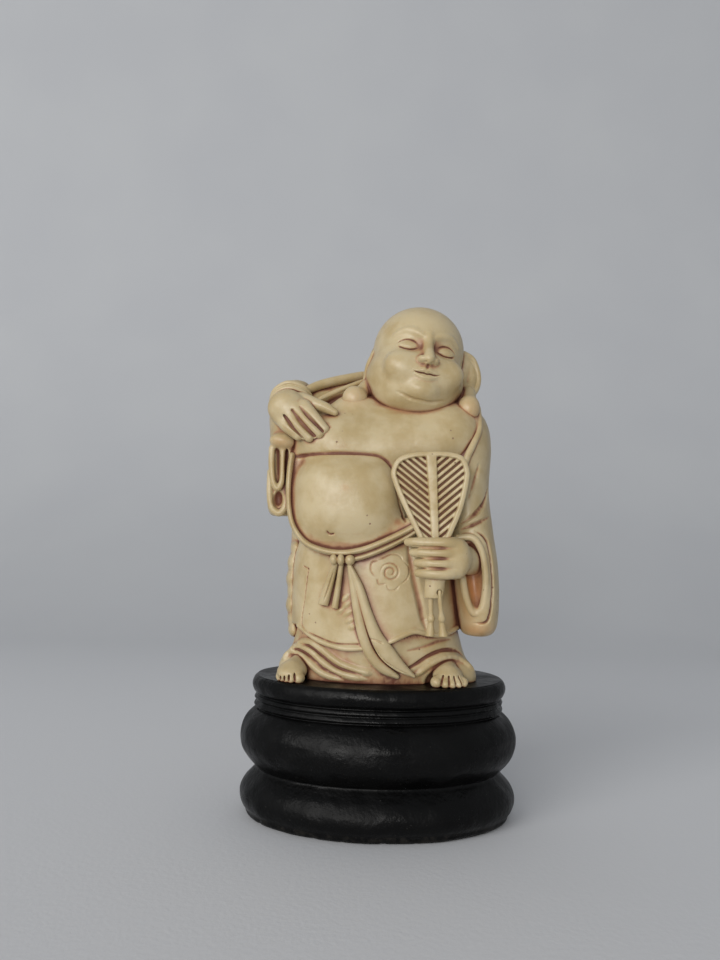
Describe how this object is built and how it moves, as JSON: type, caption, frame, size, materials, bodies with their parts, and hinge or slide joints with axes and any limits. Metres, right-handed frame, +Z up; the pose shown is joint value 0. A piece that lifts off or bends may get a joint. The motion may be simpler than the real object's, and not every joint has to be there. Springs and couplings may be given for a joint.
{
  "type": "laughing buddha statue",
  "caption": "Small standing laughing monk figure with bare belly, open robe and leaf fan, cast in brown-stained ivory resin on a black oval moulded base.",
  "frame": {"origin": "on the floor under the middle of the oval base", "axes": "+Z up through the figure, -Y towards the viewer of the figure's front, +X to that viewer's right"},
  "size_m": [0.062, 0.042, 0.1145],
  "materials": {
    "black_base": "black satin lacquer on turned wood",
    "felt": "dark green pressed felt",
    "screw_steel": "bright zinc",
    "ivory_resin": "ivory resin with brown stain in the carving, soft gloss"
  },
  "bodies": {
    "root": {"base": "black_base", "felt_pad": "felt", "fixing_screws": "screw_steel", "under_robe": "ivory_resin", "skirt": "ivory_resin", "torso": "ivory_resin", "mantle": "ivory_resin", "right_sleeve": "ivory_resin", "left_sleeve": "ivory_resin", "head": "ivory_resin", "right_hand": "ivory_resin", "left_hand": "ivory_resin", "fan": "ivory_resin", "fan_tassels": "ivory_resin", "waist_belt": "ivory_resin", "sash": "ivory_resin", "feet": "ivory_resin"}
  },
  "joints": []
}
